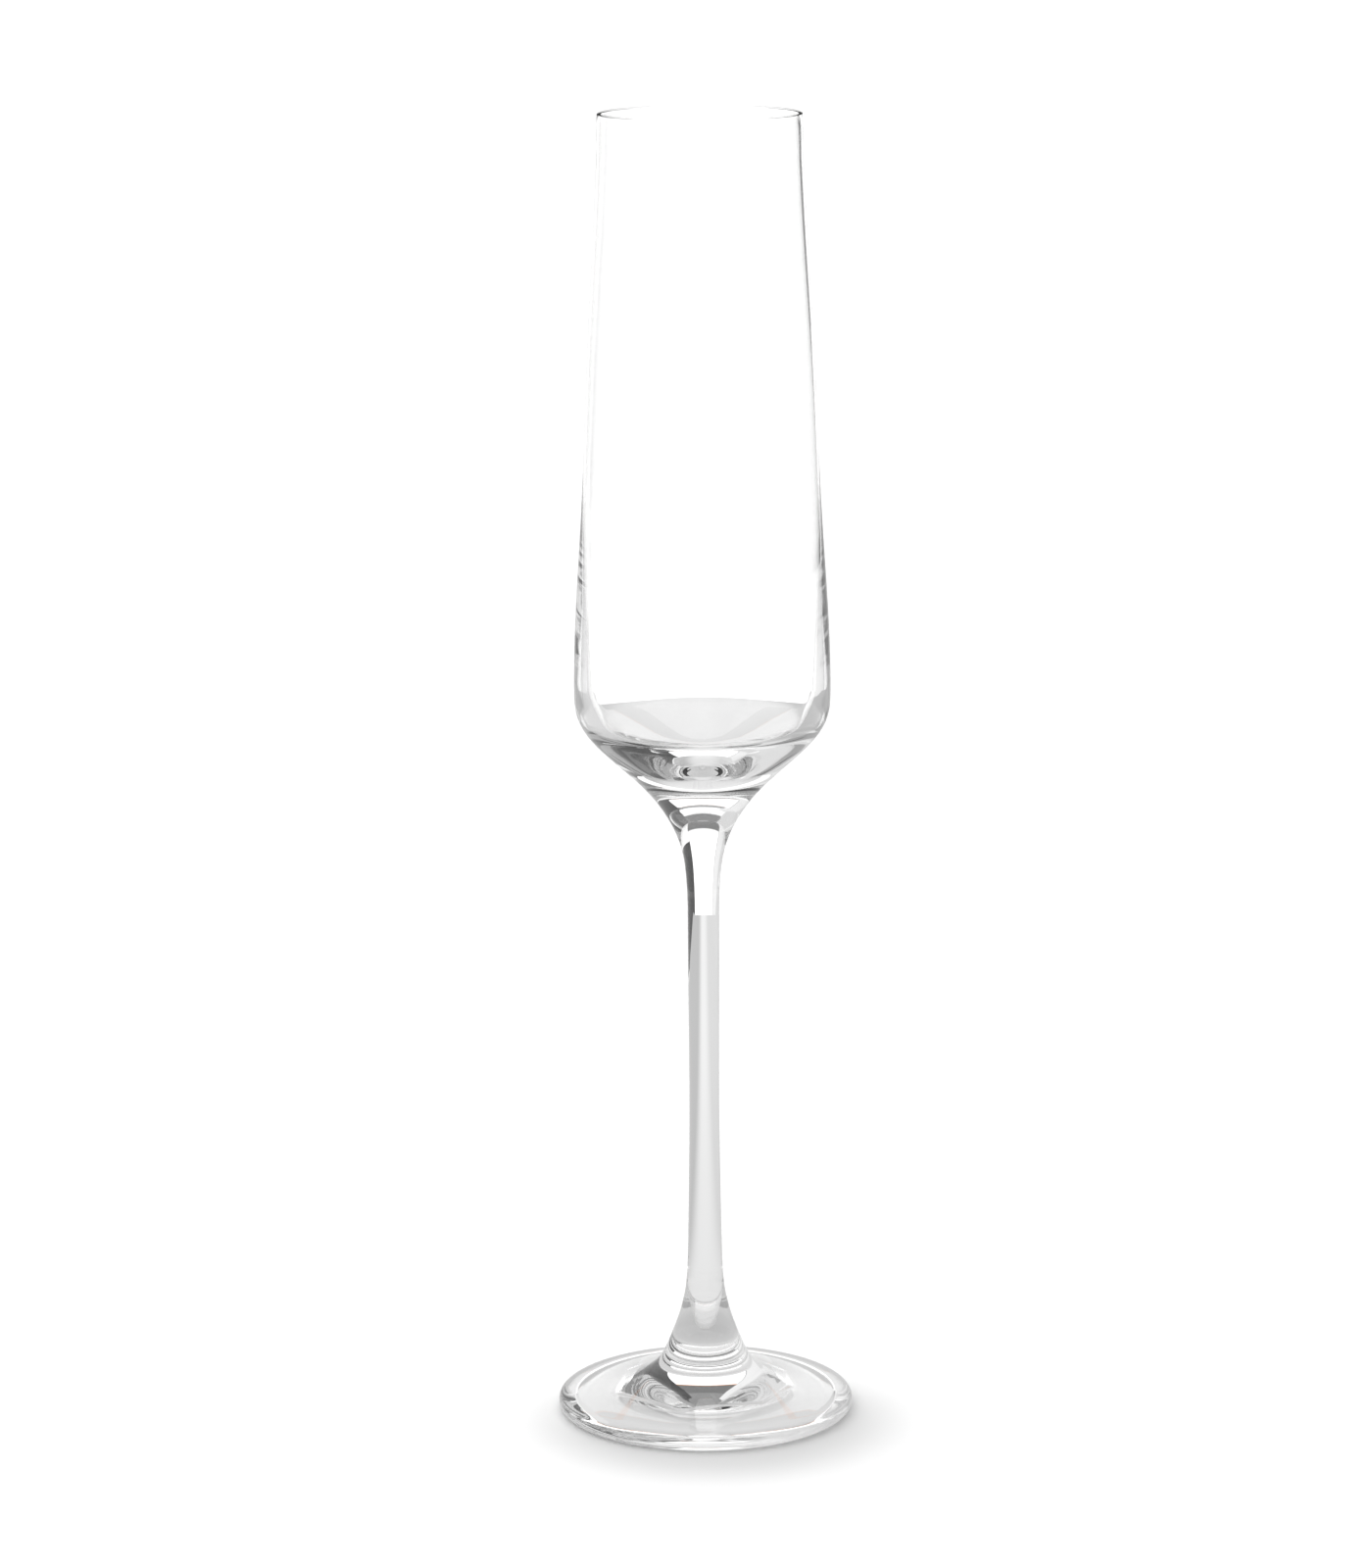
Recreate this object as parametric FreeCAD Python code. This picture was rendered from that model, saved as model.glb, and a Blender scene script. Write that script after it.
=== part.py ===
import FreeCAD
import Part
import os

# Champagne flute, empty, standing upright on its foot.
# Frame: millimetres, +Z up along the axis of revolution, with the origin
# at the centre of the resting plane under the foot.
# Three gathers of clear glass, joined face to face while hot: the blown
# bowl with its drawn-out point, the drawn stem and the pressed foot.

# Driving dimensions.
HEIGHT = 265.0
RIM_RADIUS = 20.2
RIM_WALL = 0.8
CAVITY_FLOOR_HEIGHT = 135.1
CAVITY_FLAT_RADIUS = 5.2
BOWL_SEAM_RADIUS = 3.2
BOWL_SEAM_HEIGHT = 104.0
FOOT_SEAM_RADIUS = 4.7
FOOT_SEAM_HEIGHT = 22.0
FOOT_RADIUS = 30.2
FOOT_EDGE_THICKNESS = 3.8
FOOT_EDGE_WIDTH = 3.2

# Resting ring under the foot, and the hollow inside it.
RING_OUTER_RADIUS = 28.6
RING_INNER_RADIUS = 26.4
HOLLOW_DEPTH = 2.2

# Control points, as (radius, height), that steer the smooth outlines
# between their named ends.  The belly is widest, at a radius of 25.7,
# where the outline passes between the control points at 166 and 144.5.
BOWL_OUTSIDE = [
    (20.3, 252.0),
    (22.5, 222.0),
    (23.5, 190.0),
    (25.4, 166.0),
    (25.8, 150.0),
    (25.6, 144.5),
    (22.0, 139.0),
    (11.6, 130.5),
    (6.3, 123.0),
    (4.0, 117.0),
    (3.4, 111.5),
    (3.2, 107.5),
]
BOWL_INSIDE = [
    (19.5, 252.0),
    (21.8, 222.0),
    (23.2, 190.0),
    (23.8, 176.0),
    (23.4, 162.0),
    (23.1, 153.5),
    (23.0, 149.2),
    (22.0, 144.9),
    (20.2, 142.6),
    (17.0, 141.0),
]
STEM_OUTSIDE = [
    (3.2, 97.0),
    (3.1, 80.0),
    (3.0, 62.0),
    (3.3, 44.0),
    (3.5, 32.0),
    (3.8, 26.5),
    (4.2, 24.0),
]
FOOT_TOP = [
    (5.2, 19.8),
    (6.9, 15.5),
    (8.2, 12.0),
    (10.4, 8.5),
    (14.5, 6.3),
    (20.5, 4.9),
]
FOOT_HOLLOW = [(26.0, 0.2), (22.5, 1.1), (15.0, 2.0), (8.0, HOLLOW_DEPTH)]

UP = FreeCAD.Vector(0.0, 0.0, 1.0)
ORIGIN = FreeCAD.Vector(0.0, 0.0, 0.0)


def at(radius, height):
    """A point of an outline, in the half plane through the axis."""
    return FreeCAD.Vector(radius, 0.0, height)


def line(start, end):
    """A straight edge between two (radius, height) points."""
    return Part.LineSegment(at(*start), at(*end)).toShape()


def curve(control_points):
    """A smooth cubic edge from the first control point to the last."""
    spline = Part.BSplineCurve()
    spline.buildFromPoles([at(*point) for point in control_points], False, 3)
    return spline.toShape()


def half_round(start, middle, end):
    """A circular edge through three (radius, height) points."""
    return Part.Arc(at(*start), at(*middle), at(*end)).toShape()


def turned(edges):
    """The solid made by turning a closed outline once round the axis."""
    outline = Part.Wire(Part.__sortEdges__(edges))
    solid = Part.Face(outline).revolve(ORIGIN, UP, 360.0)
    if solid.ShapeType != "Solid":
        solid = Part.Solid(solid.Shells[0])
    return solid


def bowl():
    """Thin wall, thick shoulder and base, and the solid point above the stem."""
    lip = RIM_WALL / 2.0
    rim_outside = (RIM_RADIUS, HEIGHT - lip)
    rim_top = (RIM_RADIUS - lip, HEIGHT)
    rim_inside = (RIM_RADIUS - RIM_WALL, HEIGHT - lip)
    cavity_flat = (CAVITY_FLAT_RADIUS, CAVITY_FLOOR_HEIGHT)
    cavity_floor = (0.0, CAVITY_FLOOR_HEIGHT)
    seam = (BOWL_SEAM_RADIUS, BOWL_SEAM_HEIGHT)
    seam_centre = (0.0, BOWL_SEAM_HEIGHT)
    return turned([
        half_round(rim_inside, rim_top, rim_outside),
        curve([rim_outside] + BOWL_OUTSIDE + [seam]),
        line(seam, seam_centre),
        line(seam_centre, cavity_floor),
        curve([rim_inside] + BOWL_INSIDE + [cavity_flat, cavity_floor]),
    ])


def stem():
    """Solid drawn rod, narrowest a little under its middle."""
    top = (BOWL_SEAM_RADIUS, BOWL_SEAM_HEIGHT)
    bottom = (FOOT_SEAM_RADIUS, FOOT_SEAM_HEIGHT)
    top_centre = (0.0, BOWL_SEAM_HEIGHT)
    bottom_centre = (0.0, FOOT_SEAM_HEIGHT)
    return turned([
        line(top_centre, top),
        curve([top] + STEM_OUTSIDE + [bottom]),
        line(bottom, bottom_centre),
        line(bottom_centre, top_centre),
    ])


def foot():
    """Flared disc with a rounded edge, a flat resting ring and a hollow."""
    seam = (FOOT_SEAM_RADIUS, FOOT_SEAM_HEIGHT)
    seam_centre = (0.0, FOOT_SEAM_HEIGHT)
    edge_top = (FOOT_RADIUS - FOOT_EDGE_WIDTH, FOOT_EDGE_THICKNESS)
    edge_side = (FOOT_RADIUS, 0.45 * FOOT_EDGE_THICKNESS)
    ring_outer = (RING_OUTER_RADIUS, 0.0)
    ring_inner = (RING_INNER_RADIUS, 0.0)
    hollow_top = (0.0, HOLLOW_DEPTH)
    over_edge = [
        (FOOT_RADIUS - 1.2, 0.92 * FOOT_EDGE_THICKNESS),
        (FOOT_RADIUS, 0.78 * FOOT_EDGE_THICKNESS),
    ]
    under_edge = [
        (FOOT_RADIUS, 0.15 * FOOT_EDGE_THICKNESS),
        (FOOT_RADIUS - 0.6, 0.0),
    ]
    return turned([
        line(seam_centre, seam),
        curve([seam] + FOOT_TOP + [edge_top]),
        curve([edge_top] + over_edge + [edge_side]),
        curve([edge_side] + under_edge + [ring_outer]),
        line(ring_outer, ring_inner),
        curve([ring_inner] + FOOT_HOLLOW + [hollow_top]),
        line(hollow_top, seam_centre),
    ])


os.makedirs("parts", exist_ok=True)
for node, shape in {"bowl": bowl(), "stem": stem(), "foot": foot()}.items():
    shape.exportStep("parts/" + node + ".step")
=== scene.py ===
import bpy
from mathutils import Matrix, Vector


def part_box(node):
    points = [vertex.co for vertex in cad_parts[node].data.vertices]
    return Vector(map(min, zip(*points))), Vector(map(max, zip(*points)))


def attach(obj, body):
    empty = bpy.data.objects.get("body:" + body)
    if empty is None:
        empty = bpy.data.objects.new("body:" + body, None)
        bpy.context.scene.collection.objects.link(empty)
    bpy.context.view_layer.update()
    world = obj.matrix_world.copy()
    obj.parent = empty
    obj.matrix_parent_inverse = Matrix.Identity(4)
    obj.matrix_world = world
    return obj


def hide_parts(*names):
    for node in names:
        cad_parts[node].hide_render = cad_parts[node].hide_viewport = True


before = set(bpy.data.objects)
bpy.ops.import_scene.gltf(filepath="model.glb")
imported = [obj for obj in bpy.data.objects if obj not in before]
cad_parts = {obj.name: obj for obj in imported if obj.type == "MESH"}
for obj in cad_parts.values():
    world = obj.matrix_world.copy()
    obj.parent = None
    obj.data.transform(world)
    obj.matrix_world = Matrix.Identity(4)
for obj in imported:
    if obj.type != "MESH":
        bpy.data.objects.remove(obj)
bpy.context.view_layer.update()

import math

import bpy
import numpy as np
from mathutils import Matrix, Vector

# The looks of a champagne flute: three gathers of clear glass, joined hot.
# Metres, in the frame of the CAD model: +Z up, the foot rests on z = 0.
# Each piece is turned from its CAD node's own outline, with more rings and
# segments than the CAD mesh has, because clear glass shows every facet.

PIECES = ("bowl", "stem", "foot")
MILLIMETRE = 0.001

# Fineness of the turned meshes, and of the outlines' points that they start from.
SEGMENTS = 192
LONGEST_STEPS = {"bowl": 0.001, "stem": 0.001, "foot": 0.0004}
WIDEST_TURN = math.radians(2.0)
NEAR = 1e-6
DIGITS = 7

# Material slots of a piece's mesh.
SEAM_SLOT = 1
RIM_SLOT = 2

# The worked mark in the middle of the foot's underside: a shallow uneven patch.
# Each side is given by the way it faces, in degrees, and its distance in mm.
MARK_SIDES = ((10, 17), (62, 14), (118, 15), (170, 17), (228, 16), (285, 14.5), (330, 16))
MARK_LEAST_LEAN = 0.2
MARK_TOP = 0.003
MARK_BLEND = 0.0012
MARK_DEPTH = 0.00015

# Clear glass, and each piece's faint waves: their scale, height and stretch.
WHITE = (1.0, 1.0, 1.0, 1.0)
GLASS_IOR = 1.52
WAVES = {
    "bowl": (60.0, 0.00001, (1.0, 1.0, 0.4)),
    "stem": (300.0, 0.00001, (1.0, 1.0, 0.05)),
    "foot": (120.0, 0.00001, (1.0, 1.0, 1.0)),
}

# The lip: how strongly it shows, and how far down it reaches.
RIM_ALPHA = 0.2
RIM_BAND = 0.0005

# The camera: distance, height and aim of the photograph's view.
CAMERA_DISTANCE = 0.987
CAMERA_HEIGHT = 0.334
CAMERA_PITCH = math.radians(11.64)
CAMERA_YAW = math.radians(0.196)
CAMERA_ROLL = math.radians(-0.313)
CAMERA_LENS = 115.04
CAMERA_SENSOR = 36.0
CAMERA_NEAREST = 0.01

# The studio.  The camera sees a white floor and a white room.  The glass sees
# a table, screens all round it and a bright panel overhead.  Straight through
# the bowl's two walls, most of them look as white as the room.
EYE_HEIGHT = 0.12
SEEN_WHITE = 1.15
ROOM_LIGHT = 0.5
ROOM_IN_GLASS = 0.25
OUTER_REFLECTION = 0.7

# The table: its outline, and the light and shade painted into its glow by distance and side.
TABLE_LEVEL = -0.00005
TABLE_REACH = 3.0
TABLE_BACK_EDGE = 0.456
TABLE_WEDGE_ANGLES = (-24, -16, -8, 0, 8, 16, 24)
TABLE_LEFT_ANGLES = (-32, -40)
TABLE_LEFT_END = (-TABLE_REACH, 1.5)
TABLE_RIGHT_SIDE = ((0.5, -TABLE_REACH), (0.5, -0.3), (0.31, 0.25), (0.23, 0.40))
TABLE_CENTRE = (0.0, 0.0, 0.0)
TABLE_LIGHT_UNDER_STEM = 0.5
TABLE_LIGHT_AT_FOOT = 0.8
TABLE_LIGHT_BEHIND = 0.9
TABLE_LIGHT_FAR = 1.05
TABLE_LIGHT_RIGHT = 0.6
TABLE_LIGHT_LEFT = 0.82
FOOT_SHADE_RADII = (0.0, 0.03)
BEHIND_RADII = (0.03, 0.35)
FAR_RADII = (0.6, 0.9)
SIDE_SPAN = (0.02, 0.1)
# Painted contact shadow in the table's glow where the foot rests: its radii and level.
CONTACT_SHADOW_INNER_RADII = (0.027, 0.0285)
CONTACT_SHADOW_OUTER_RADII = (0.0295, 0.0305)
CONTACT_SHADOW_LEVEL = 0.7
WEDGE_CLEAR_FROM = (0.5, 0.51)
AROUND_CLEAR_FROM = (0.1, 0.15)

# The white floor, with a soft grey shadow round the foot painted into its colour, besides the
# lamp's own shadow.
FLOOR_LEVEL = 0.9
FLOOR_ROUGHNESS = 0.9
# Painted shadow round the foot: its level, centre and radii.
PAINTED_SHADOW_LEVEL = 0.66
PAINTED_SHADOW_CENTRE = (0.002, -0.010, 0.0)
PAINTED_SHADOW_RADII = (0.024, 0.044)

# The lamp that lights the floor, and the panel that shines in the glass.
SOFTBOX_SIDE = (-0.25, 0.55, 1.0)
SOFTBOX_SPREAD = math.radians(80.0)
SOFTBOX_STRENGTH = 2.6
PANEL_HEIGHT = 1.3
PANEL_ELEVATIONS = (45.0, 79.0)
PANEL_HALF_WIDTH = 0.7
PANEL_LIGHT = 1.3
PANEL_LIGHT_NEARBY = 0.3
PANEL_NEARBY_STEPS = 3.5

# The screens.  Azimuths and elevations are in degrees, seen from eye height on
# the glass's axis; azimuth 0 is straight behind the glass, + to the right.
SCREEN_COLUMNS = 24
BACKDROP = (-25.5, 23.5)
BACKDROP_TOP = 26
WARM_EDGE_TOP = 27.4
# Painted reflection: the warm colour that the backdrop's upper edge glows with in the glass's
# reflections.
PAINTED_FRINGE_COLOR = (1.0, 0.42, 0.16, 1.0)
RIGHT = (23.5, 60)
RIGHT_FRONT = (60, 120)
THROUGH_BOWL = 4
THROUGH_ANY_GLASS = 1
SCREENS = {
    # name: (azimuths, elevations, distance, brightness, brightness seen straight
    #        through the glass, fewest surfaces that a ray crosses to count as straight)
    "backdrop": (BACKDROP, (-60, BACKDROP_TOP), 0.8, 1.4, 1.4, THROUGH_BOWL),
    "backdrop_edge": (BACKDROP, (BACKDROP_TOP, WARM_EDGE_TOP), 0.8, 0.9, 0.9, THROUGH_BOWL),
    "backdrop_shade": (BACKDROP, (WARM_EDGE_TOP, 45), 0.8, 0.2, 0.2, THROUGH_BOWL),
    "left_screen": ((-45, -26.2), (-60, 60), 0.9, 0.95, SEEN_WHITE, THROUGH_BOWL),
    "left_front_screen": ((-120, -45), (-60, 60), 2.5, 0.78, SEEN_WHITE, THROUGH_BOWL),
    "right_low": (RIGHT, (-60, -14), 2.5, 1.0, SEEN_WHITE, THROUGH_BOWL),
    "right_near": ((23.5, 120), (15, 45), 0.3, 0.06, SEEN_WHITE, THROUGH_ANY_GLASS),
    "right_screen": (RIGHT, (-14, 60), 2.5, 0.06, SEEN_WHITE, THROUGH_BOWL),
    "right_front_low": (RIGHT_FRONT, (-60, -14), 2.5, 1.0, SEEN_WHITE, THROUGH_BOWL),
    "right_front_screen": (RIGHT_FRONT, (-14, 8), 2.5, 0.05, SEEN_WHITE, THROUGH_BOWL),
    "right_front_upper": (RIGHT_FRONT, (8, 60), 2.5, 0.15, 0.15, THROUGH_BOWL),
    "camera_side": ((120, 240), (-60, 54), 2.6, 0.36, SEEN_WHITE, THROUGH_ANY_GLASS),
}

# The sockets for colours of a Mix node, whose names it repeats for its numbers.
MIX_FIRST_COLOR = 6
MIX_SECOND_COLOR = 7
MIX_COLOR_RESULT = 2

# How far light is followed through the glass.
MOST_BOUNCES = 32
MOST_CLEAR_LAYERS = 48
MOST_FLOOR_BOUNCES = 3


# ---------------------------------------------------------------- outlines

def meridian_links(node):
    """Points of a CAD node in the half plane y = 0, x >= 0: {point: its neighbours}."""
    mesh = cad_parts[node].data
    spots = {}
    for vertex in mesh.vertices:
        x, y, z = vertex.co
        if abs(y) < NEAR and x > -NEAR:
            spots[vertex.index] = (round(max(x, 0.0), DIGITS), round(z, DIGITS))
    links = {spot: set() for spot in spots.values()}
    for edge in mesh.edges:
        first, second = (spots.get(index) for index in edge.vertices)
        if first and second and first != second:
            links[first].add(second)
            links[second].add(first)
    return links


def open_at_seams(node, links):
    """Takes out the centres of the seam faces, so that the outline ends at their edges."""
    caps = seam_heights(node)
    for spot in list(links):
        if spot[0] < NEAR and any(abs(spot[1] - cap) < NEAR for cap in caps):
            for other in links.pop(spot):
                links[other].discard(spot)


def meridian(node):
    """Outline of a CAD node in the half plane y = 0, x >= 0, from top to bottom end."""
    links = meridian_links(node)
    open_at_seams(node, links)
    path = [first_spot(node, links)]
    while True:
        onward = [spot for spot in links[path[-1]] if spot not in path[-2:]]
        if not onward:
            return path
        path.append(onward[0])


def seam_heights(node):
    """Heights of the flat faces where a node is fused to its neighbours."""
    low, high = (corner[2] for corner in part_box(node))
    return {"bowl": (low,), "stem": (low, high), "foot": (high,)}[node]


def first_spot(node, links):
    """The end of a node's outline that comes first, going down through the glass."""
    ends = [spot for spot, others in links.items() if len(others) == 1]
    if node == "bowl":
        return min(ends)
    return max(ends, key=lambda spot: spot[1])


def natural_tangents(points):
    """Tangents of the cubic spline through points, level at both ends on the axis."""
    chords = np.linalg.norm(np.diff(points, axis=0), axis=1)
    count = len(points)
    system = np.zeros((count, count))
    right = np.zeros((count, 2))
    system[0, 0] = system[-1, -1] = 1.0
    right[0] = (1.0, 0.0)
    right[-1] = (-1.0, 0.0)
    for i in range(1, count - 1):
        before, after = chords[i - 1], chords[i]
        system[i, i - 1:i + 2] = after, 2.0 * (before + after), before
        rise = (points[i] - points[i - 1]) * after / before
        fall = (points[i + 1] - points[i]) * before / after
        right[i] = 3.0 * (rise + fall)
    return np.linalg.solve(system, right), chords


def between(points, tangents, chords, i, share):
    """A point of the spline at a share of the way along span i, never under the floor."""
    length = chords[i]
    s, s2, s3 = share, share ** 2, share ** 3
    place = (
        (2 * s3 - 3 * s2 + 1) * points[i]
        + (s3 - 2 * s2 + s) * length * tangents[i]
        + (3 * s2 - 2 * s3) * points[i + 1]
        + (s3 - s2) * length * tangents[i + 1]
    )
    return place[0], max(place[1], 0.0)


def turning(first, second):
    """Angle between two directions of the outline's plane."""
    lengths = np.linalg.norm(first) * np.linalg.norm(second)
    return math.acos(max(-1.0, min(1.0, float(first @ second) / lengths)))


def joined_meridians():
    """The pieces' outlines as one row of points, and where it is cut at the seams."""
    points = []
    cuts = [0]
    for node in PIECES:
        spots = meridian(node)
        points += spots if not points else spots[1:]
        cuts.append(len(points) - 1)
    return np.array(points), cuts


def smooth_outlines():
    """The glass as one smooth outline, cut at the seams: {piece: list of (radius, height)}."""
    points, cuts = joined_meridians()
    tangents, chords = natural_tangents(points)
    outlines = {}
    for node, start, stop in zip(PIECES, cuts, cuts[1:]):
        line = []
        for i in range(start, stop):
            bend = turning(tangents[i], tangents[i + 1])
            parts = math.ceil(max(chords[i] / LONGEST_STEPS[node], bend / WIDEST_TURN, 1.0))
            for k in range(parts):
                line.append(between(points, tangents, chords, i, k / parts))
        line.append(points[stop])
        outlines[node] = line
    return outlines


# ------------------------------------------------------------------ meshes

def add_ring(verts, radius, height):
    """Adds one ring of points to verts, or a single point on the axis, and lists them."""
    first = len(verts)
    if radius < NEAR:
        verts.append((0.0, 0.0, height))
        return [first]
    for k in range(SEGMENTS):
        angle = math.tau * k / SEGMENTS
        verts.append((radius * math.cos(angle), radius * math.sin(angle), height))
    return list(range(first, first + SEGMENTS))


def faces_between(upper, lower):
    """The faces between two rings, either of which may be a single point."""
    faces = []
    for k in range(SEGMENTS):
        n = (k + 1) % SEGMENTS
        if len(upper) == 1:
            faces.append((upper[0], lower[k], lower[n]))
        elif len(lower) == 1:
            faces.append((upper[k], lower[0], upper[n]))
        else:
            faces.append((upper[k], lower[k], lower[n], upper[n]))
    return faces


def turned_mesh(name, outline):
    """A closed mesh turned from an outline, with its flat seam faces in their own slot."""
    verts = []
    rings = [add_ring(verts, radius, height) for radius, height in outline]
    capped = []
    for end in (0, -1):
        if len(rings[end]) > 1:
            centre = add_ring(verts, 0.0, outline[end][1])
            capped += centre
            rings.insert(0 if end == 0 else len(rings), centre)
    faces = []
    for upper, lower in zip(rings, rings[1:]):
        faces += faces_between(upper, lower)
    mesh = bpy.data.meshes.new(name)
    mesh.from_pydata(verts, [], faces)
    mesh.validate()
    for face in mesh.polygons:
        on_seam = any(index in capped for index in face.vertices)
        face.use_smooth = not on_seam
        face.material_index = SEAM_SLOT if on_seam else 0
    return mesh


def mark_reach(angle):
    """Distance from the axis to the mark's edge, which has a few uneven sides."""
    reaches = []
    for side, distance in MARK_SIDES:
        lean = math.cos(angle - math.radians(side))
        if lean > MARK_LEAST_LEAN:
            reaches.append(MILLIMETRE * distance / lean)
    return min(reaches)


def press_mark(mesh):
    """Presses the worked mark up into the foot's underside."""
    for vertex in mesh.vertices:
        x, y, z = vertex.co
        if z > MARK_TOP:
            continue
        inward = (mark_reach(math.atan2(y, x)) - math.hypot(x, y)) / MARK_BLEND
        share = max(0.0, min(1.0, inward))
        vertex.co.z += MARK_DEPTH * share * share * (3.0 - 2.0 * share)


def mark_seam_edges_sharp(mesh):
    """Keeps the shading of the turned side apart from that of the flat seam faces."""
    slots = {}
    for face in mesh.polygons:
        for key in face.edge_keys:
            slots.setdefault(key, set()).add(face.material_index)
    for edge in mesh.edges:
        edge.use_edge_sharp = len(slots[tuple(sorted(edge.vertices))]) > 1


def mark_rim(mesh):
    """Gives the top of the lip its own material slot."""
    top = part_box("bowl")[1][2]
    for face in mesh.polygons:
        if face.center.z > top - RIM_BAND:
            face.material_index = RIM_SLOT


def add_object(name, mesh):
    """A new object of the scene."""
    piece = bpy.data.objects.new(name, mesh)
    bpy.context.scene.collection.objects.link(piece)
    return piece


# --------------------------------------------------------------- materials

def new_material(name):
    """A material with nodes, together with its nodes and links."""
    material = bpy.data.materials.new(name)
    material.use_nodes = True
    return material, material.node_tree.nodes, material.node_tree.links


def glass_shader(nodes):
    """Makes a material's own shader clear glass."""
    shader = nodes["Principled BSDF"]
    shader.inputs["Base Color"].default_value = WHITE
    shader.inputs["Roughness"].default_value = 0.0
    shader.inputs["IOR"].default_value = GLASS_IOR
    shader.inputs["Transmission Weight"].default_value = 1.0
    return shader


def clear_glass(name, wave_scale, wave_height, stretch):
    """Clear glass with the faint waviness of a piece worked by hand."""
    material, nodes, links = new_material(name)
    shader = glass_shader(nodes)
    place = nodes.new("ShaderNodeTexCoord")
    scale = nodes.new("ShaderNodeMapping")
    scale.inputs["Scale"].default_value = stretch
    waves = nodes.new("ShaderNodeTexNoise")
    waves.inputs["Scale"].default_value = wave_scale
    waves.inputs["Detail"].default_value = 1.0
    bump = nodes.new("ShaderNodeBump")
    bump.inputs["Distance"].default_value = wave_height
    bump.inputs["Strength"].default_value = 1.0
    links.new(place.outputs["Object"], scale.inputs["Vector"])
    links.new(scale.outputs["Vector"], waves.inputs["Vector"])
    links.new(waves.outputs["Fac"], bump.inputs["Height"])
    links.new(bump.outputs["Normal"], shader.inputs["Normal"])
    return material


def rim_glass():
    """The fire-polished lip, so thin and rounded that it shows only faintly."""
    material, nodes, _ = new_material("rim_clear_glass")
    glass_shader(nodes).inputs["Alpha"].default_value = RIM_ALPHA
    return material


def fused_seam():
    """The faces inside the glass where two gathers have fused: nothing shows there."""
    material, nodes, _ = new_material("fused_seam")
    nodes["Principled BSDF"].inputs["Alpha"].default_value = 0.0
    return material


# ------------------------------------------------------------------ pieces

def build_pieces():
    """The three pieces, each in its node's place."""
    outlines = smooth_outlines()
    seam = fused_seam()
    for node in PIECES:
        mesh = turned_mesh("flute_" + node, outlines[node])
        if node == "foot":
            press_mark(mesh)
        mark_seam_edges_sharp(mesh)
        mesh.materials.append(clear_glass(node + "_clear_glass", *WAVES[node]))
        mesh.materials.append(seam)
        if node == "bowl":
            mesh.materials.append(rim_glass())
            mark_rim(mesh)
        piece = add_object("flute_" + node, mesh)
        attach(piece, "root")
        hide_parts(node)


# ------------------------------------------------------------------ studio

def only_for_glass(obj):
    """Leaves a studio piece to be seen in and through the glass alone."""
    obj.visible_camera = False
    obj.visible_diffuse = False
    obj.visible_shadow = False


def ramp(nodes, links, value, start, end, low, high):
    """A smooth change of a number from low to high while value goes from start to end."""
    node = nodes.new("ShaderNodeMapRange")
    node.interpolation_type = "SMOOTHSTEP"
    limits = {"From Min": start, "From Max": end, "To Min": low, "To Max": high}
    for name, number in limits.items():
        node.inputs[name].default_value = number
    links.new(value, node.inputs["Value"])
    return node.outputs["Result"]


def blend(nodes, links, share, level, other):
    """The level where share is 0, and the other fixed level where share is 1."""
    node = nodes.new("ShaderNodeMix")
    node.inputs["B"].default_value = other
    links.new(share, node.inputs["Factor"])
    links.new(level, node.inputs["A"])
    return node.outputs["Result"]


def add_lamp(nodes, links, level):
    """An emission of the given level as the material's whole surface."""
    lamp = nodes.new("ShaderNodeEmission")
    output = nodes.new("ShaderNodeOutputMaterial")
    links.new(level, lamp.inputs["Strength"])
    links.new(lamp.outputs["Emission"], output.inputs["Surface"])
    return lamp


def combine(nodes, links, operation, first, second):
    """The product of two numbers, or the larger one, as the operation says."""
    node = nodes.new("ShaderNodeMath")
    node.operation = operation
    links.new(first, node.inputs[0])
    links.new(second, node.inputs[1])
    return node.outputs["Value"]


def path_test(nodes, links, count, operation, limit):
    """1 where the ray's count of crossings or reflections passes a test, else 0.

    The limits lie half-way between whole counts.
    """
    path = nodes.new("ShaderNodeLightPath")
    test = nodes.new("ShaderNodeMath")
    test.operation = operation
    test.inputs[1].default_value = limit
    links.new(path.outputs[count], test.inputs[0])
    return test.outputs["Value"]


def distance_from(nodes, links, centre):
    """How far a point of a studio piece is from a centre."""
    place = nodes.new("ShaderNodeTexCoord").outputs["Object"]
    apart = nodes.new("ShaderNodeVectorMath")
    apart.operation = "DISTANCE"
    apart.inputs[1].default_value = centre
    links.new(place, apart.inputs[0])
    return apart.outputs["Value"]


def sideways(nodes, links):
    """How far a point of a studio piece is to the right of the glass's axis."""
    place = nodes.new("ShaderNodeTexCoord").outputs["Object"]
    parts = nodes.new("ShaderNodeSeparateXYZ")
    links.new(place, parts.inputs["Vector"])
    return parts.outputs["X"]


def seen_straight(nodes, links, fewest_crossings):
    """1 for a ray that crossed enough glass surfaces and was reflected by none, else 0."""
    limit = fewest_crossings - 0.5
    crossed = path_test(nodes, links, "Transmission Depth", "GREATER_THAN", limit)
    unreflected = path_test(nodes, links, "Glossy Depth", "LESS_THAN", 0.5)
    return combine(nodes, links, "MULTIPLY", crossed, unreflected)


def screen_glow(name, brightness, seen_through, fewest_crossings):
    """A screen's light, with others straight through glass and in outer reflections."""
    material, nodes, links = new_material(name)
    nodes.clear()
    straight = seen_straight(nodes, links, fewest_crossings)
    outer = path_test(nodes, links, "Transmission Depth", "LESS_THAN", 0.5)
    level = ramp(nodes, links, straight, 0.0, 1.0, brightness, seen_through)
    level = blend(nodes, links, outer, level, OUTER_REFLECTION)
    lamp = add_lamp(nodes, links, level)
    # The backdrop's upper edge gets a painted warm fringe in reflections.
    if name == "backdrop_edge":
        paint_warm_fringe(nodes, links, lamp)
    return material


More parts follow.
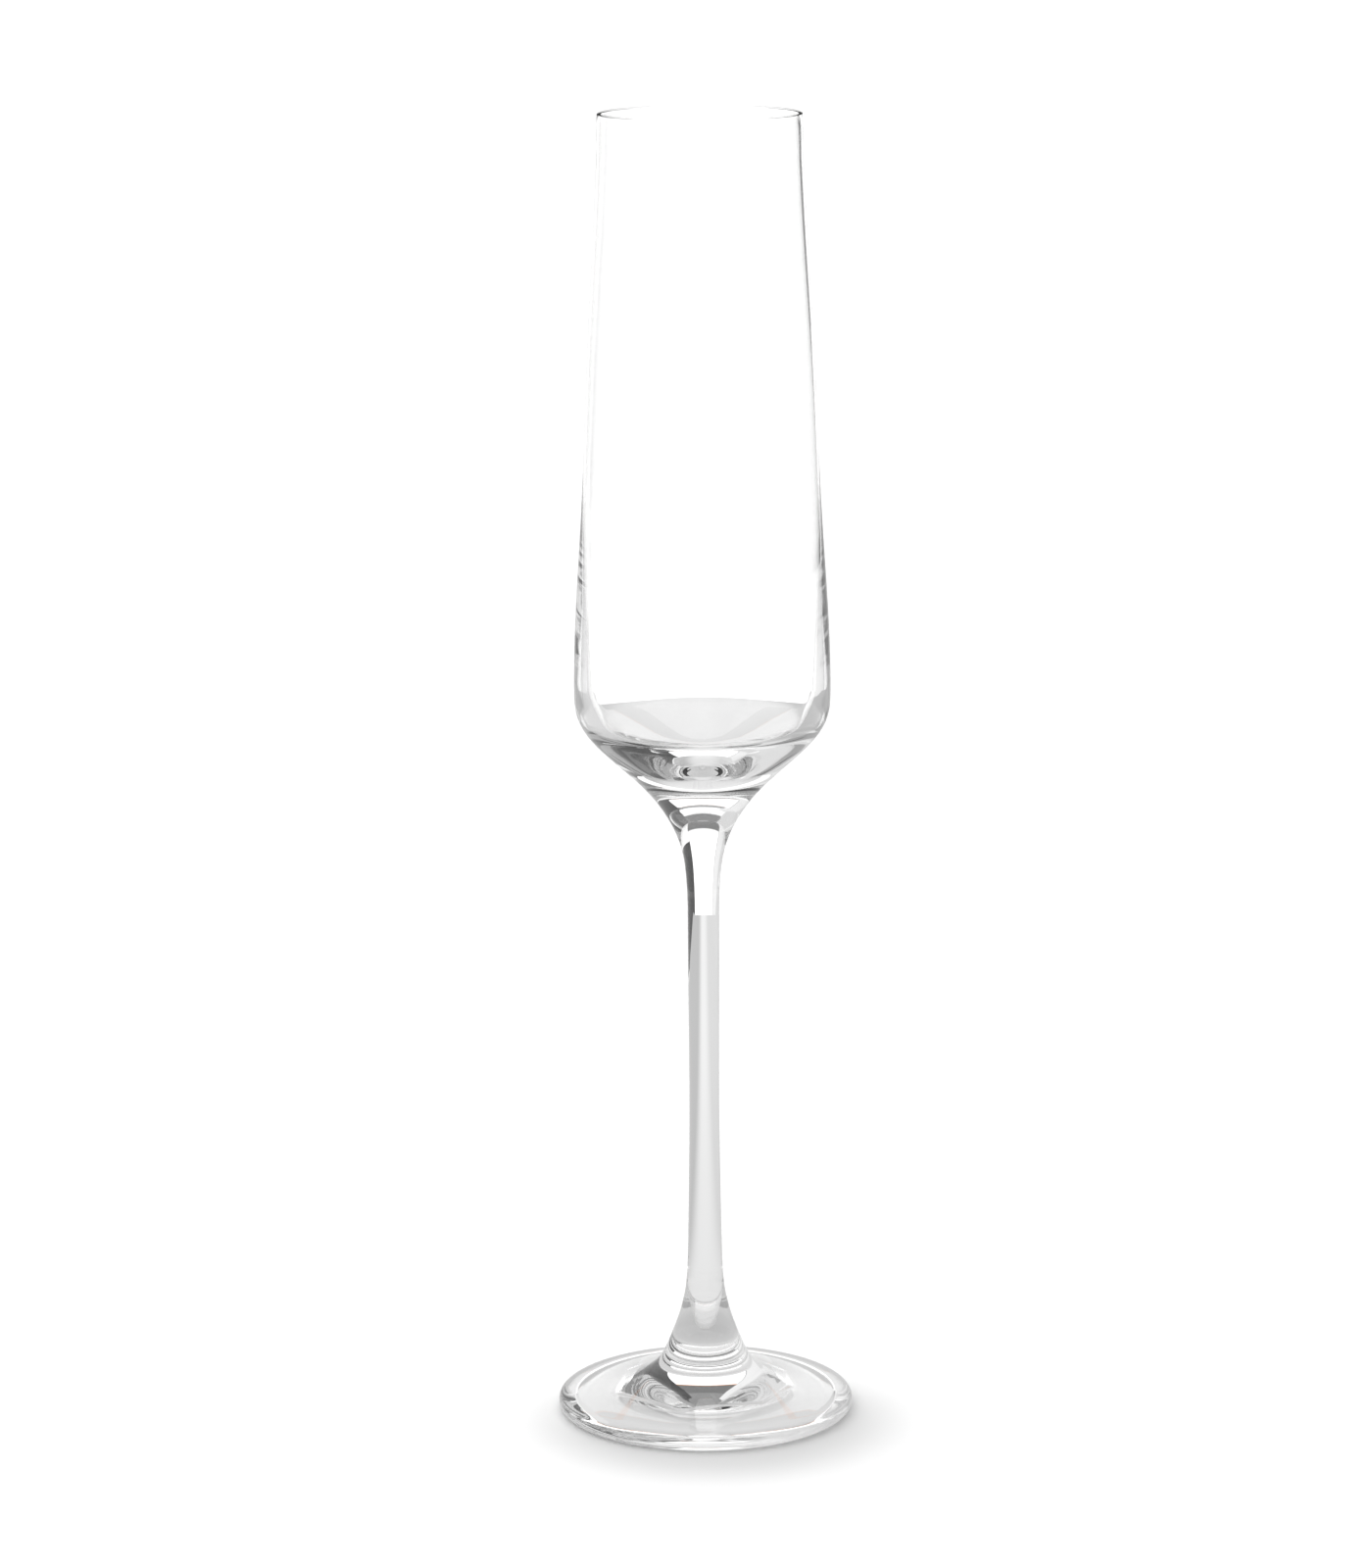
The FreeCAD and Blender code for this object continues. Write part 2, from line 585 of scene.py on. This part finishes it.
def paint_warm_fringe(nodes, links, lamp):
    """A painted warm fringe: the bright edge glows warm in the glass's reflections, in place of
    the colours that glass splits light into.
    """
    reflected = path_test(nodes, links, "Glossy Depth", "GREATER_THAN", 0.5)
    tint = nodes.new("ShaderNodeMix")
    tint.data_type = "RGBA"
    links.new(reflected, tint.inputs["Factor"])
    tint.inputs[MIX_FIRST_COLOR].default_value = WHITE
    tint.inputs[MIX_SECOND_COLOR].default_value = PAINTED_FRINGE_COLOR
    links.new(tint.outputs[MIX_COLOR_RESULT], lamp.inputs["Color"])


def panel_glow():
    """The panel's light, which is faint for rays that took a short way in the glass."""
    material, nodes, links = new_material("overhead_glow")
    nodes.clear()
    long_way = path_test(nodes, links, "Ray Depth", "GREATER_THAN", PANEL_NEARBY_STEPS)
    level = ramp(nodes, links, long_way, 0.0, 1.0, PANEL_LIGHT_NEARBY, PANEL_LIGHT)
    add_lamp(nodes, links, level)
    return material


def screen(name, azimuths, elevations, distance, *light):
    """A curved upright screen round the glass."""
    verts = []
    for k in range(SCREEN_COLUMNS + 1):
        angle = math.radians(azimuths[0] + (azimuths[1] - azimuths[0]) * k / SCREEN_COLUMNS)
        x, y = distance * math.sin(angle), distance * math.cos(angle)
        for elevation in elevations:
            z = EYE_HEIGHT + distance * math.tan(math.radians(elevation))
            verts.append((x, y, z))
    faces = [(2 * k, 2 * k + 2, 2 * k + 3, 2 * k + 1) for k in range(SCREEN_COLUMNS)]
    mesh = bpy.data.meshes.new(name)
    mesh.from_pydata(verts, [], faces)
    mesh.materials.append(screen_glow(name, *light))
    only_for_glass(add_object(name, mesh))


def plane(name, x0, x1, y0, y1, z):
    """A level rectangle."""
    mesh = bpy.data.meshes.new(name)
    mesh.from_pydata([(x0, y0, z), (x1, y0, z), (x1, y1, z), (x0, y1, z)], [], [(0, 1, 2, 3)])
    return add_object(name, mesh)


def table_light(nodes, links, radius):
    """The table's painted light by distance: painted shade under the foot, and a painted contact
    shadow where the foot rests.
    """
    # Painted shade: the table's glow dims under the stem and the foot.
    under = (TABLE_LIGHT_UNDER_STEM, TABLE_LIGHT_AT_FOOT)
    near = ramp(nodes, links, radius, *FOOT_SHADE_RADII, *under)
    rise = TABLE_LIGHT_BEHIND / TABLE_LIGHT_AT_FOOT
    behind = ramp(nodes, links, radius, *BEHIND_RADII, 1.0, rise)
    # Painted contact shadow: a darker ring where the foot rests.
    inside = ramp(nodes, links, radius, *CONTACT_SHADOW_INNER_RADII, 1.0, CONTACT_SHADOW_LEVEL)
    outside = ramp(nodes, links, radius, *CONTACT_SHADOW_OUTER_RADII, CONTACT_SHADOW_LEVEL, 1.0)
    contact_shadow = combine(nodes, links, "MAXIMUM", inside, outside)
    light = combine(nodes, links, "MULTIPLY", near, behind)
    return combine(nodes, links, "MULTIPLY", light, contact_shadow)


def table_glow(name, clear_from):
    """The table's glow, with light and shade painted in: dim by the foot and to both sides,
    brighter far away.

    Straight through the bowl it looks as white as the room, outside the clear_from radii.
    """
    material, nodes, links = new_material(name)
    nodes.clear()
    radius = distance_from(nodes, links, TABLE_CENTRE)
    side = sideways(nodes, links)
    # Painted light: the table's glow dims to the right, and a little to the left.
    right = ramp(nodes, links, side, *SIDE_SPAN, 1.0, TABLE_LIGHT_RIGHT)
    left = ramp(nodes, links, side, -SIDE_SPAN[1], -SIDE_SPAN[0], TABLE_LIGHT_LEFT, 1.0)
    far = ramp(nodes, links, radius, *FAR_RADII, 0.0, TABLE_LIGHT_FAR)
    light = table_light(nodes, links, radius)
    light = combine(nodes, links, "MULTIPLY", light, right)
    light = combine(nodes, links, "MULTIPLY", light, left)
    light = combine(nodes, links, "MAXIMUM", light, far)
    beyond = ramp(nodes, links, radius, *clear_from, 0.0, 1.0)
    straight = seen_straight(nodes, links, THROUGH_BOWL)
    white = combine(nodes, links, "MULTIPLY", beyond, straight)
    add_lamp(nodes, links, blend(nodes, links, white, light, SEEN_WHITE))
    return material


def on_back_edge(angle):
    """A point of the table's curved back edge; angle 0 is straight behind the glass."""
    turn = math.radians(angle)
    return TABLE_BACK_EDGE * math.sin(turn), TABLE_BACK_EDGE * math.cos(turn)


def table_part(name, outline, clear_from):
    """One flat part of the table, from its outline."""
    mesh = bpy.data.meshes.new(name)
    verts = [(x, y, TABLE_LEVEL) for x, y in outline]
    mesh.from_pydata(verts, [], [tuple(range(len(verts)))])
    mesh.materials.append(table_glow(name, clear_from))
    only_for_glass(add_object(name, mesh))


def table():
    """The table as the glass sees it: a wedge behind the glass, and the rest round it."""
    wedge = [on_back_edge(angle) for angle in TABLE_WEDGE_ANGLES]
    left = [on_back_edge(angle) for angle in TABLE_LEFT_ANGLES]
    table_part("table_behind", [(0.0, 0.0), *wedge], WEDGE_CLEAR_FROM)
    front = [(-TABLE_REACH, -TABLE_REACH), *TABLE_RIGHT_SIDE]
    back = [wedge[-1], (0.0, 0.0), wedge[0], *left, TABLE_LEFT_END]
    table_part("table_around", front + back, AROUND_CLEAR_FROM)


def overhead_panel():
    """The bright panel over the table, behind the glass."""
    rise = PANEL_HEIGHT - EYE_HEIGHT
    far, near = (rise / math.tan(math.radians(e)) for e in PANEL_ELEVATIONS)
    panel = plane("overhead_panel", -PANEL_HALF_WIDTH, PANEL_HALF_WIDTH, near, far, PANEL_HEIGHT)
    panel.data.materials.append(panel_glow())
    only_for_glass(panel)


def floor():
    """The white floor that the camera sees, with a painted shadow greying its colour close round
    the foot.
    """
    piece = plane("floor", -TABLE_REACH, TABLE_REACH, -TABLE_REACH, TABLE_REACH, 0.0)
    material, nodes, links = new_material("white_floor")
    shader = nodes["Principled BSDF"]
    # Painted shadow: the floor's colour turns grey towards the foot.
    radius = distance_from(nodes, links, PAINTED_SHADOW_CENTRE)
    level = ramp(nodes, links, radius, *PAINTED_SHADOW_RADII, PAINTED_SHADOW_LEVEL, FLOOR_LEVEL)
    links.new(level, shader.inputs["Base Color"])
    shader.inputs["Roughness"].default_value = FLOOR_ROUGHNESS
    shader.inputs["Specular IOR Level"].default_value = 0.0
    piece.data.materials.append(material)
    piece.visible_glossy = False
    piece.visible_transmission = False


def softbox():
    """The large soft lamp over the table, far behind the glass and to its left."""
    lamp = bpy.data.lights.new("softbox", "SUN")
    lamp.angle = SOFTBOX_SPREAD
    lamp.energy = SOFTBOX_STRENGTH
    obj = bpy.data.objects.new("softbox", lamp)
    bpy.context.scene.collection.objects.link(obj)
    obj.rotation_euler = Vector(SOFTBOX_SIDE).to_track_quat("Z", "Y").to_euler()
    obj.visible_camera = False
    obj.visible_glossy = False
    obj.visible_transmission = False


def room():
    """Soft light from all round: white to the camera, and dim in the glass."""
    world = bpy.data.worlds.new("room")
    bpy.context.scene.world = world
    world.use_nodes = True
    nodes, links = world.node_tree.nodes, world.node_tree.links
    nodes.clear()
    path = nodes.new("ShaderNodeLightPath")
    shown = None
    kinds = {
        None: ROOM_LIGHT,
        "Is Glossy Ray": ROOM_IN_GLASS,
        "Is Transmission Ray": ROOM_IN_GLASS,
        "Is Camera Ray": SEEN_WHITE,
    }
    for kind, strength in kinds.items():
        light = nodes.new("ShaderNodeBackground")
        light.inputs["Color"].default_value = WHITE
        light.inputs["Strength"].default_value = strength
        if kind is None:
            shown = light.outputs["Background"]
            continue
        either = nodes.new("ShaderNodeMixShader")
        links.new(path.outputs[kind], either.inputs["Fac"])
        links.new(shown, either.inputs[1])
        links.new(light.outputs["Background"], either.inputs[2])
        shown = either.outputs["Shader"]
    output = nodes.new("ShaderNodeOutputWorld")
    links.new(shown, output.inputs["Surface"])


def studio():
    """All that is round the glass."""
    floor()
    table()
    overhead_panel()
    for name, numbers in SCREENS.items():
        screen(name, *numbers)
    softbox()
    room()


def camera():
    """The photograph's view."""
    data = bpy.data.cameras.new("camera")
    data.lens = CAMERA_LENS
    data.sensor_width = CAMERA_SENSOR
    data.clip_start = CAMERA_NEAREST
    obj = bpy.data.objects.new("camera", data)
    bpy.context.scene.collection.objects.link(obj)
    aim = (
        Matrix.Rotation(CAMERA_YAW, 4, "Z")
        @ Matrix.Rotation(math.pi / 2 - CAMERA_PITCH, 4, "X")
        @ Matrix.Rotation(CAMERA_ROLL, 4, "Z")
    )
    obj.matrix_world = Matrix.Translation((0.0, -CAMERA_DISTANCE, CAMERA_HEIGHT)) @ aim
    bpy.context.scene.camera = obj


def render_settings():
    """Enough bounces for light to find its way through thick glass."""
    scene = bpy.context.scene
    scene.view_settings.view_transform = "Standard"
    cycles = scene.cycles
    cycles.max_bounces = MOST_BOUNCES
    cycles.transmission_bounces = MOST_BOUNCES
    cycles.glossy_bounces = MOST_BOUNCES
    cycles.diffuse_bounces = MOST_FLOOR_BOUNCES
    cycles.transparent_max_bounces = MOST_CLEAR_LAYERS
    cycles.caustics_reflective = True
    cycles.caustics_refractive = True
    cycles.blur_glossy = 0.0
    cycles.sample_clamp_indirect = 0.0
    cycles.use_denoising = True


build_pieces()
studio()
camera()
render_settings()
bpy.context.view_layer.update()
